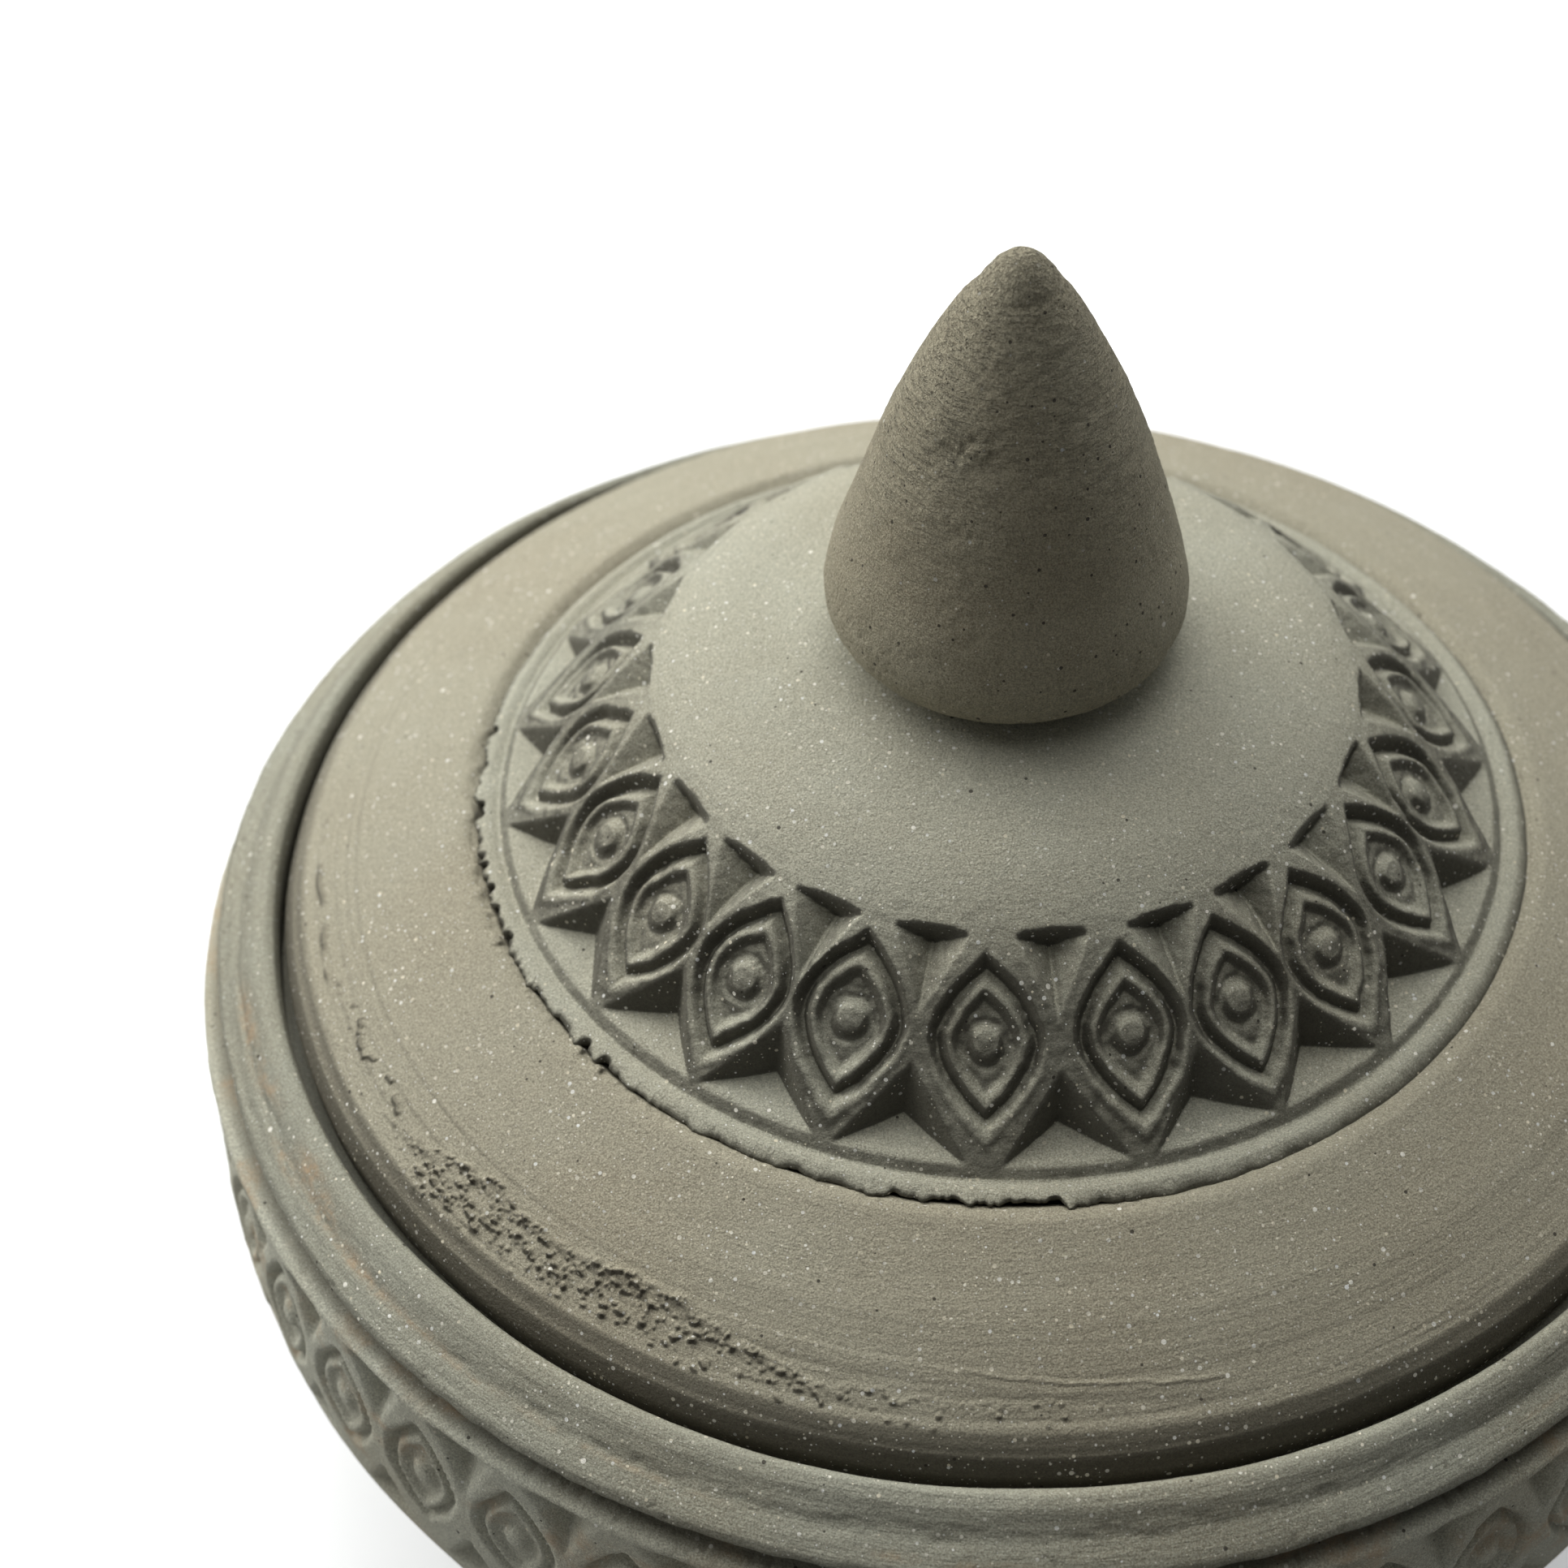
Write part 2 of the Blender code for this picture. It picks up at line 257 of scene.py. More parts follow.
def leaf_level(u, v, a=5.2, up=8.1, down=8.5, q=1.8):
    """1 on the leaf's outline, 0 at its middle."""
    uu, vv = np.abs(u) / a, np.where(v < 0, -v / up, v / down)
    level = np.maximum(np.maximum(uu, vv), 1e-4)
    for _ in range(6):
        value = uu / level + (vv / level) ** q - 1
        slope = -uu / level ** 2 - q * (vv / level) ** q / level
        level = np.maximum(level - value / np.minimum(slope, -1e-6), 1e-4)
    return level


def stamp(u, v, depth=1.0):
    """Height of one stamped eye at (u across, v down the slope), in millimetres from the pupil, and how sunk it is."""
    level = leaf_level(u, v)
    lean = v / (np.abs(u) * 1.6 + np.abs(v) + 1e-6)
    down, up = np.clip(lean, 0, 1), np.clip(-lean, 0, 1)
    rim = 0.99 - 0.01 * down
    floor = 0.84 - 0.05 * down                    # bottom of the outer groove
    crest_out = 0.66 - 0.04 * up + 0.03 * down    # broad rounded ridge
    crest_in = crest_out - 0.05
    edge = 0.475 - 0.01 * up                      # the sunk middle's outline
    groove, high, sink = 1.0 + 0.15 * up, 0.18, 0.70
    h = -groove * (1 - step(0, 1, (level - floor) / (rim - floor)) ** 0.85)
    h = h + (groove - high) * (1 - step(0, 1, (level - crest_out) / (floor - crest_out)))
    h = h - (sink - high) * (1 - step(0, 1, (level - edge) / (crest_in - edge)))
    # the stamp leaned back when it was pressed: deep at the top, shallow at the bottom
    h = h + 0.03 * v * step(1.0, 0.86, level)
    h = h + 0.08 * bump_at(level, 1.03, 0.05) * (0.3 + 0.7 * down)
    spot = np.hypot(u, v * 0.97)
    inner = step(edge + 0.02, edge - 0.06, level)
    pupil = 0.42 * step(1.65, 1.10, spot) - 0.09 * bump_at(spot, 1.95, 0.22) + 0.05 * bump_at(spot, 0.0, 0.8)
    h = h + inner * (pupil + 0.10 * np.clip(1 - level / edge, 0, 1))
    sunk = np.clip(-h / 0.9, 0, 1) * (level < 1.02)
    return h * depth, sunk


def chip(u, v, corners, low, depth, softness=16.0, arch=0.0):
    """Depth of a three-faced pyramid cut: zero on the triangle's sides, depth at the low point.

    low's first value may differ from place to place; arch bows the first side outwards at its middle.
    """
    value = None
    half_side = abs(corners[1][0] - corners[0][0]) / 2
    for n in range(3):
        (ax, ay), (bx, by) = corners[n], corners[(n + 1) % 3]
        nx, ny = -(by - ay), bx - ax
        size = math.hypot(nx, ny)
        vv, vlow = v, low[1]
        if n == 0 and arch:
            vv = v + arch * np.clip(1 - (u / half_side) ** 2, 0, 1)
            vlow = low[1] + arch
        at_low = ((low[0] - ax) * nx + (vlow - ay) * ny) / size
        side = ((u - ax) * nx + (vv - ay) * ny) / size / at_low
        value = side if value is None else np.minimum(value, side)
    value = value * depth
    return np.where(value * softness > 20, value, np.log1p(np.exp(np.clip(value * softness, -40, 20))) / softness)


def wrap(a):
    return (a + math.pi) % (2 * math.pi) - math.pi


def variation(n, seed):
    """Repeatable random numbers in -1..1, one per motif."""
    i = np.arange(n, dtype=np.int64)
    zero = np.zeros_like(i)
    return lattice(i, zero, zero, seed) * 2 - 1


def band(theta, s, r, eyes, pupil_s, scale, chips_up, chips_down, seed):
    """Height of a whole carved band. s runs down the slope in millimetres from the band's top edge."""
    eyes = np.radians(np.array(eyes))
    n = len(eyes)
    turn, size, deep, slip = [variation(n, seed + m) for m in range(4)]
    gap = np.abs(wrap(theta[:, None] - eyes[None, :]))
    k = gap.argmin(1)
    across = wrap(theta - eyes[k]) * r
    along = s - pupil_s - 0.25 * slip[k]
    angle = 0.055 * turn[k]
    u = (across * np.cos(angle) + along * np.sin(angle)) / (scale * (1 + 0.03 * size[k]))
    v = (-across * np.sin(angle) + along * np.cos(angle)) / (scale * (1 + 0.025 * deep[k]))
    wobble = 0.24 * fbm(u * 0.45, v * 0.45, k * 3.7, seed + 9, 3)
    h, sunk = stamp(u + wobble, v + 0.8 * wobble, 1 + 0.16 * deep[k])
    # chips sit half way between neighbouring eyes
    order = np.argsort(eyes)
    ring = eyes[order]
    middles = ring + wrap(np.roll(ring, -1) - ring) / 2
    gap = np.abs(wrap(theta[:, None] - middles[None, :]))
    m = gap.argmin(1)
    vary_a, vary_b, vary_c = [variation(len(middles), seed + 20 + q) for q in range(3)]
    across = wrap(theta - middles[m]) * r + 0.2 * vary_a[m]
    rough = 0.10 * fbm(across * 0.9, s * 0.9, m * 1.9, seed + 31, 3)
    up_corners, up_low, up_depth = chips_up
    lo_corners, lo_low, lo_depth = chips_down
    d_up = chip(across + rough, s + 0.15 * vary_b[m] + rough * 0.5, up_corners, (up_low[0] + 0.6 * vary_c[m], up_low[1] + 0.12 * vary_a[m]), up_depth, 24.0, 0.45)
    d_up = d_up * (1 + 0.12 * vary_c[m])
    d_lo = chip(across * (1 + 0.05 * vary_b[m]) + 0.6 * rough, s + 0.2 * vary_c[m] + 0.6 * rough, lo_corners, (lo_low[0] - 0.45 + 0.8 * vary_a[m], lo_low[1]), lo_depth, 18.0)
    d_lo = d_lo * (1 + 0.10 * vary_a[m])
    cut = np.maximum(d_up, d_lo)
    h = np.where(cut > 0.12, h * np.clip(1 - (cut - 0.12) / 0.25, 0, 1), h)
    hidden = np.clip(cut / 1.6, 0, 1)
    return h - cut, np.maximum(sunk * np.clip(1 - cut / 0.3, 0, 1), 0), hidden


# ---- lid: eye angles as they sit round the band, the back filled at the same pitch ------------------------------

FRONT_EYES = [-118.9, -100.8, -84.4, -68.9, -53.1, -38.0, -22.9, -5.6, 12.4, 27.3, 42.2, 58.6, 73.6, 90.9, 108.1]
LID_EYES = FRONT_EYES + [108.1 + (360 - 118.9 - 108.1) * n / 8 for n in range(1, 8)]
BELLY_COUNT = 44
BELLY_EYES = [-55.6 + 4.09 + 360.0 / BELLY_COUNT * n for n in range(BELLY_COUNT)]


def lid_z(z):
    """Heights drawn for a seat gap at 66 mm, moved to the frame's."""
    return GAP + (z - 66.0) * K


def drawn(points):
    """Profile points in the drawing's millimetres, moved to the frame's."""
    return [(p[0] * K, lid_z(p[1])) + tuple(p[2:]) for p in points]


def rounded(a, corner, b, n):
    """Points on the curve that leaves a towards the corner and arrives at b."""
    out = []
    for i in range(n + 1):
        t = i / n
        out.append(tuple((1 - t) ** 2 * a[c] + 2 * t * (1 - t) * corner[c] + t ** 2 * b[c] for c in (0, 1)))
    return out


def dense(low, high, share):
    """An angle map with that share of the columns between low and high, in degrees."""
    low, high = math.radians(low), math.radians(high)
    return lambda u: np.where(u < share, low + (high - low) * u / share, high + (2 * math.pi - (high - low)) * (u - share) / (1 - share))


# dome, from the underside's middle, outwards, up the seam and back over the top to the middle
FINE, COARSE = 1200, 300
brow = rounded((37.06, 89.1), (32.9, 93.43), (27.3, 95.4), 8)      # the slope rolls over into the dome
dome_points = [
    (0.0, 90.2, 3.0, COARSE), (22.0, 89.6, 3.0, COARSE), (30.0, 87.6, 2.0, COARSE), (37.0, 81.4, 2.0, COARSE), (43.6, 73.8, 1.2, COARSE),
    (45.8, 71.2, 1.2, COARSE), (48.2, 70.6, 1.4, COARSE), (48.6, 76.3, 0.4, FINE), (49.35, 77.05, 0.16, FINE), (49.9, 77.4, 0.12, FINE),
    (50.0, 77.68, 0.12, FINE), (49.75, 77.9, 0.16, FINE), (49.2, 78.06, 0.22, FINE), (48.6, 78.02, 0.25, FINE), (47.95, 77.8, 0.25, FINE),
]
FOOT = len(dome_points) - 1
dome_points += [(r, z, 0.28, FINE) for r, z in brow[:6]]
dome_points += [(r, z, 1.2, COARSE) for r, z in brow[6:]]
dome_points += [(24.5, 96.1, 1.8, COARSE), (17.5, 97.45, 2.0, COARSE), (11.0, 98.1, 2.0, COARSE), (0.0, 98.3, 2.0, COARSE)]
dome_profile = Profile(drawn(dome_points), soft=0.3)
S_EDGE = dome_profile.corner[9]                   # torn edge of the flap
S_FOOT = dome_profile.corner[FOOT]                # foot of the carved slope
S_BREAK = dome_profile.corner[FOOT + 5] - 0.6 * K # where the slope's line would meet the dome's


def seam(theta):
    """The torn seam round the dome at each angle: how ragged the flap's edge is, how open its crack, and where it is pitted."""
    x, y = np.sin(theta) * 50, np.cos(theta) * 50
    deg = np.degrees(theta)
    live = np.interp(deg, [-116, -104, -95, -60, -42, -18, -14, 2, 5, 12, 30, 44], [0, 0.7, 1, 0.9, 0.55, 0.5, 1, 1, 0.7, 0.35, 0.15, 0])
    rag = 0.75 * fbm(x / 1.7, y / 1.7, 0 * x, 41, 4, 0.65) + 0.40 * fbm(x / 0.8, y / 0.8, 0 * x, 47, 2, 0.6)
    tear = 0.6 * bump_at(deg, 3.2, 0.5) - 0.3 * bump_at(deg, 1.9, 0.6) + 0.45 * bump_at(deg, -16.2, 0.8)
    spots, tag = cells(theta * 50 / 1.7, 0 * theta + 0.5, 43)
    bite = step(0.44, 0.14, spots) * (tag > 0.45) * (0.4 + 0.6 * tag) * step(math.radians(-112), math.radians(-100), theta) * step(math.radians(-22), math.radians(-40), theta)
    gape = np.interp(deg, [-116, -104, -95, -60, -42, -18, -14, 2, 5, 12, 30, 44], [0, 0.6, 0.8, 0.75, 0.62, 0.6, 1, 1, 0.55, 0.42, 0.2, 0])
    return rag * live + tear, np.clip(gape + 0.35 * live * fbm(x / 3.3, y / 3.3, 0 * x, 45, 3), 0, 1), bite


def dome_height(theta, s, r, z):
    theta = wrap(theta)
    down = (S_BREAK - s) / K                # millimetres down the slope from its top edge
    h = np.zeros_like(theta)
    on = (down > -3.2) & (down < 24) & (r > 25)
    carved, sunk, hidden = band(
        theta[on], down[on], r[on], LID_EYES, 9.35, 0.985,
        ([(-3.3, 0.15), (3.3, 0.15), (0.0, 7.3)], (0.0, 0.75), 2.3),
        ([(0.0, 11.7), (5.6, 19.6), (-5.6, 19.6)], (0.0, 16.2), 2.7), 5)
    fade = step(-3.1, -2.2, down[on])
    h[on] = carved * fade
    x, y = r * np.sin(theta), r * np.cos(theta)
    recess_shade, deep = np.zeros_like(theta), np.zeros_like(theta)
    recess_shade[on], deep[on] = sunk * fade, hidden * fade
    # hand-turned unevenness and small grain
    h = h + 0.16 * fbm(x / 14, y / 14, z / 14, 3, 3) * (r > 14)
    h[on] = h[on] + 0.045 * fbm(x[on] / 0.8, y[on] / 0.8, z[on] / 0.8, 8, 3) * (1 + 1.5 * recess_shade[on])
    # pillowed leaves between the deep chips, and the fillet that follows them
    h = h + 0.12 * bump_at(down, 15.0, 4.0) * fbm(x / 3.0, y / 3.0, z / 3.0, 17, 2)
    strip = bump_at(s, S_EDGE + 1.6, 1.1) * (z > lid_z(76.8))
    h = h + 0.06 * strip * fbm(x / 1.6, y / 1.6, z / 2, 19, 4, 0.6)
    rag, gape, bite = seam(theta)
    edge = bump_at(s, S_EDGE + 0.2, 0.6) * (z > lid_z(76.6))
    shut = 1 - gape
    push = edge * (rag + 0.55 * shut - 1.0 * bite)
    lift = -edge * (0.85 * shut + 0.35 * bite)
    # painted shade: the stamped hollows and the bites in the torn edge get a darkening attribute
    return h, push, {"lift": lift, "recess_shade": np.clip(0.25 * recess_shade + 0.6 * edge * bite, 0, 1), "wear": np.clip(deep, 0, 1)}


lid_dome = revolve("clay_lid_dome", dome_profile, dome_height, angle=dense(-104, 62, 0.6), centre=LID_SHIFT)

# flange, from under the flap out over the slope, round the edge and back underneath
FLANGE_COLUMNS = 1400
SIDE = FLANGE_COLUMNS // 4
flange_points = drawn([
    (48.9, 75.8, 0.5, FLANGE_COLUMNS), (49.5, 76.6, 0.3, FLANGE_COLUMNS), (50.1, 77.15, 0.22, FLANGE_COLUMNS), (50.8, 77.5, 0.26, FLANGE_COLUMNS),
    (51.9, 77.5, 0.7, FLANGE_COLUMNS), (59.9, 74.1, 0.28, FLANGE_COLUMNS), (62.0, 72.98, 0.17, FLANGE_COLUMNS), (67.6, 69.75, 0.3, FLANGE_COLUMNS),
    (69.0, 68.3, 0.4, FLANGE_COLUMNS), (69.8, 66.4, 0.7, SIDE), (69.6, 64.2, 0.8, SIDE), (68.7, 62.75, 2.0, SIDE),
    (62.3, 62.75, 1.0, SIDE), (61.0, 63.7, 2.4, SIDE), (51.0, 70.0, 1.6, SIDE), (49.1, 71.0, 1.6, SIDE),
])
flange_profile = Profile(flange_points, soft=0.35, closed=True)

TRAIL_ANGLE = [-94, -85, -81, -75.5, -71.5, -68, -65.5, -63, -60, -57]      # a broken hair crack that runs into the torn patch
TRAIL_RADIUS = [65.7, 65.7, 65.5, 65.9, 64.2, 64.7, 65.1, 64.3, 64.7, 65.1]
PATCH_ANGLE = [-60, -57, -55, -50, -45, -40, -35, -30, -25, -20, -16, -10, 0, 6]
PATCH_INNER = [66.0, 65.4, 64.9, 63.0, 63.1, 63.3, 62.9, 62.4, 63.6, 64.8, 65.3, 65.2, 65.3, 65.9]
PATCH_OUTER = [66.1, 66.5, 67.3, 67.4, 67.0, 66.6, 66.5, 66.3, 66.2, 66.3, 66.5, 66.2, 66.2, 66.0]


def flange_height(theta, s, r, z):
    theta = wrap(theta)
    deg, rr = np.degrees(theta), r / K
    top = (z > lid_z(65.0)) & (rr > 51.4)
    x, y = r * np.sin(theta), r * np.cos(theta)
    arc = theta * 65.0
    h = 0.14 * fbm(x / 22, y / 22, z / 22, 51, 3)
    # turning lines
    h = h + 0.026 * noise(rr * 2.1, arc / 60, 0 * rr, 52) + 0.016 * noise(rr * 5.0, arc / 30, 0 * rr, 53)
    # the torn patch
    rough_in = 0.9 * fbm(arc / 2.0, rr * 0 + 1.0, 0 * rr, 54, 5, 0.62)
    rough_out = 1.0 * fbm(arc / 1.7, rr * 0 + 5.0, 0 * rr, 56, 5, 0.65)
    inner = np.interp(deg, PATCH_ANGLE, PATCH_INNER) + rough_in * 0.7
    outer = np.interp(deg, PATCH_ANGLE, PATCH_OUTER) + rough_out
    strength = np.interp(deg, [-61, -57, -52, -30, -20, -12, 3, 8], [0, 0.6, 1, 1, 0.8, 0.35, 0.2, 0])
    inside = step(-0.02, 0.14, rr - inner) * step(-0.35, 0.45, outer - rr) * strength * top
    swirl = fbm(arc / 1.6, rr / 1.2, 0 * rr, 57, 3, 0.6)
    lumps = fbm(arc / 0.95 + swirl, rr / 0.6 + 0.8 * swirl, 0 * rr, 58, 5, 0.68)
    fine = fbm(arc / 0.42, rr / 0.34, 0 * rr, 59, 3, 0.6)
    tears, tag = cells(arc / 1.25 + 0.7 * swirl, rr / 0.60 + 0.5 * lumps, 61)
    tears2, tag2 = cells(arc / 0.55 + 0.5 * lumps, rr / 0.42 + 0.3 * fine, 67)
    hole = step(0.40, 0.20, tears) * (tag > 0.60) * step(-0.15, 0.15, lumps + 0.22)
    hole2 = step(0.42, 0.18, tears2) * (tag2 > 0.72)
    crag = np.abs(lumps) * 1.6
    shelf = 0.26 * step(0.0, 0.12, rr - inner) * step(1.3, 0.15, rr - inner)
    h = h - inside * (0.04 + 0.5 * shelf - 0.09 * crag + 0.07 * lumps + 0.035 * fine + 0.34 * hole + 0.20 * hole2)
    # loose pits before and after the patch
    near = 0.3 * bump_at(deg, -66, 7.0) * step(62.8, 63.8, rr) * step(67.2, 65.8, rr) + 0.8 * bump_at(deg, -26, 26) * bump_at(rr, 66.7, 0.8) + 0.5 * bump_at(deg, -4, 9) * bump_at(rr, 65.8, 0.8)
    pits, pit_tag = cells(arc / 1.15 + 0.4 * swirl, rr / 0.8 + 0.4 * swirl, 71)
    loose = step(0.30, 0.12, pits) * (pit_tag > 0.80) * np.clip(near, 0, 1) * top
    h = h - 0.30 * loose
    # a faint row of dents at the left and a hair crack that leads into the patch
    dents, dent_tag = cells(arc / 1.5, 0 * rr + 0.5, 72)
    h = h - 0.07 * step(0.45, 0.1, dents) * bump_at(rr, np.interp(deg, TRAIL_ANGLE, TRAIL_RADIUS) + 0.4, 0.6) * step(-96, -90, deg) * step(-54, -60, deg) * top
    hair_r = np.interp(deg, TRAIL_ANGLE, TRAIL_RADIUS) + 0.30 * noise(arc / 1.1, 0 * rr, 0 * rr, 79) + 0.15 * noise(arc / 0.4, 0 * rr, 0 * rr, 80)
    hair = bump_at(rr, hair_r, 0.24) * step(-95, -91, deg) * step(-54, -57, deg) * step(-0.25, 0.15, noise(arc / 1.1, 0 * rr, 0 * rr, 78)) * top
    h = h - 0.24 * hair
    # a long shallow scored line that leaves the patch and runs on round the front
    line_r = np.interp(deg, [-36, -28, -15, -8, 0, 11, 16], [62.7, 62.85, 63.0, 63.1, 63.8, 64.7, 65.2]) + 0.12 * noise(arc / 1.6, 0 * rr, 0 * rr, 73)
    on_line = step(-36, -33, deg) * step(16, 11, deg) * top
    h = h - 0.15 * bump_at(rr, line_r, 0.13) * on_line * (0.5 + 0.5 * step(-8, 0, deg)) - 0.07 * step(0.0, 0.4, rr - line_r) * step(1.6, 0.6, rr - line_r) * on_line
    # scored lines beside the seam
    h = h - 0.07 * bump_at(rr, 51.4 + 0.12 * noise(arc / 6, 0 * rr, 0 * rr, 74), 0.13) * (rr > 50.8) - 0.05 * bump_at(rr, 52.2, 0.12) * step(-5, 30, deg)
    rag, gape, bite = seam(theta)
    lip = step(52.2, 50.6, rr) * (rr > 49.2) * (z > lid_z(74.7))
    h = h + 0.25 * (1 - gape) * lip
    h = h + (0.10 + 0.16 * gape) * bump_at(rr, 50.7, 0.5) * fbm(arc / 1.1, rr / 0.7, 0 * rr, 75, 4, 0.6) * (z > lid_z(74.7))
    h = h - 0.45 * bite * bump_at(rr, 50.6, 0.5) * (z > lid_z(74.7))
    # smooth pressed edge with a faint lip
    h = h + 0.06 * noise(arc / 9, rr / 2, 0 * rr, 77) * (rr > 67)
    # painted shade: the torn patch, its holes, the loose pits and the hair crack get a darkening attribute
    dark = np.clip(inside * (0.05 + 0.75 * np.maximum(hole, 0.7 * hole2)) + 0.8 * loose + 0.8 * hair, 0, 1)
    return h, 0 * h, {"recess_shade": dark, "wear": inside}


lid_flange = revolve("clay_lid_flange", flange_profile, flange_height, angle=dense(-74, 12, 0.6), centre=LID_SHIFT)

# knob
knob_points = [
    (0.0, 97.4, 2.0, 96), (11.0, 97.4, 0.5, 384), (12.3, 97.7, 0.3, 384), (13.3, 98.5, 0.3, 384), (14.6, 99.5, 0.35, 384), (15.75, 100.85, 0.35, 384),
    (16.3, 102.5, 0.35, 384), (16.35, 104.5, 0.35, 384), (15.6, 108.0, 0.35, 384), (14.4, 111.6, 0.35, 384), (13.25, 115.1, 0.35, 384), (12.15, 118.6, 0.35, 384),
    (10.9, 122.0, 0.35, 384), (9.4, 125.6, 0.35, 384), (7.65, 129.1, 0.32, 384), (5.6, 132.6, 0.30, 384), (4.45, 134.3, 0.25, 384), (3.5, 135.6, 0.2, 384),
    (2.75, 136.7, 0.2, 384), (2.2, 137.5, 0.2, 192), (1.45, 138.25, 0.2, 96), (0.8, 138.6, 0.3, 96), (0.0, 138.72, 0.4, 96),
]
knob_profile = Profile(drawn(knob_points), soft=0.5)


def knob_height(theta, s, r, z):
    theta = wrap(theta)
    x, y = r * np.sin(theta), r * np.cos(theta)
    zz = (z - GAP) / K + 66.0
    side = step(99.3, 101.0, zz)
    h = 0.24 * fbm(x / 9, y / 9, z / 9, 81, 3) * side
    # short turning scratches, longest in the middle of the knob
    drift = noise(x / 6, y / 6, z / 6, 82)
    arc = theta * r
    lines = noise(arc / 3.4 + 2.0 * drift, z / 0.34 + 0.3 * drift, 0 * r, 83) + 0.6 * noise(arc / 1.5, z / 0.30 + 0.4 * drift, 0 * r, 84)
    h = h + 0.032 * lines * step(102, 112, zz)
    patchy = 0.35 + 0.65 * step(-0.25, 0.35, fbm(x / 5, y / 5, z / 5, 86, 2))
    h = h + 0.10 * fbm(x / 0.9, y / 0.9, z / 0.5, 85, 3, 0.65) * side * patchy
    # ring crease under the tip, a pressed scar high on the left, gaps in the joint under the foot
    h = h - 0.07 * bump_at(zz, 135.4 + 0.25 * np.sin(theta * 2 + 1), 0.30) * (0.6 + 0.4 * noise(theta * 2, 0 * r, 0 * r, 90))
    scar = bump_at(np.degrees(theta), -34 + (zz - 124) * 4.0, 16) * bump_at(zz, 124.8, 1.5)
    dent = bump_at(np.degrees(theta), -22, 7) * bump_at(zz, 118.6, 1.1)
    torn = step(-0.25, 0.3, fbm(x / 0.8, y / 0.8, z / 0.5, 91, 3, 0.6))
    h = h - 0.26 * scar * torn - 0.22 * dent * torn
    gaps, gap_tag = cells(theta * 13 / 1.9, 0 * r + 0.5, 93)
    hole = step(0.42, 0.15, gaps) * (gap_tag > 0.45) * bump_at(zz, 98.7, 0.5)
    nicks, nick_tag = cells(theta * 15 / 0.9, z / 0.7, 95)
    nick = step(0.30, 0.12, nicks) * (nick_tag > 0.62) * bump_at(zz, 103.0, 4.5) * (0.4 + 0.6 * np.abs(np.sin(theta)))
    h = h - 0.65 * hole - 0.16 * nick
    # painted shade: the joint gaps, the nicks and the torn scar get a darkening attribute
    return h, 0 * h, {"recess_shade": np.clip(hole + 0.6 * nick + 0.35 * scar * torn, 0, 1), "wear": step(104, 134, zz)}


lid_knob = revolve("clay_lid_knob", knob_profile, knob_height, centre=LID_SHIFT)

# rim coil
coil_points = drawn([
    (70.95, 62.75, 0.8, 1200), (74.6, 62.75, 0.35, 1200), (75.5, 62.95, 0.2, 1200), (76.5, 63.3, 0.2, 1200), (76.85, 63.85, 0.2, 1200), (76.4, 64.45, 0.3, 1200), (75.35, 65.1, 0.3, 1200),
    (74.2, 65.75, 0.22, 1200), (73.6, 66.6, 0.3, 1200), (72.9, 67.5, 0.3, 1200), (72.0, 67.95, 0.3, 1200), (71.2, 67.6, 0.35, 1200), (70.9, 66.4, 0.7, 1200),
])
coil_profile = Profile(coil_points, soft=0.5, closed=True)
SMEARS = [(-76, 74.0, 3.5, 0.5, 0.9), (-70, 73.6, 2.5, 0.6, 0.6), (-63, 74.6, 2.2, 0.5, 0.7), (-61, 73.5, 1.6, 0.7, 0.8), (-57.5, 74.0, 2.0, 0.6, 0.9),
          (-52, 74.3, 4.0, 0.35, 0.8), (-46, 74.2, 4.0, 0.25, 0.6), (-39, 74.4, 5.0, 0.22, 0.5), (-29, 74.5, 7.0, 0.18, 0.35),
          (-9, 75.6, 1.5, 0.3, 0.7), (-4, 75.8, 2.5, 0.22, 0.6), (35, 75.3, 3.0, 0.2, 0.3), (150, 74.2, 6.0, 0.4, 0.4), (-140, 74.3, 5.0, 0.4, 0.5)]


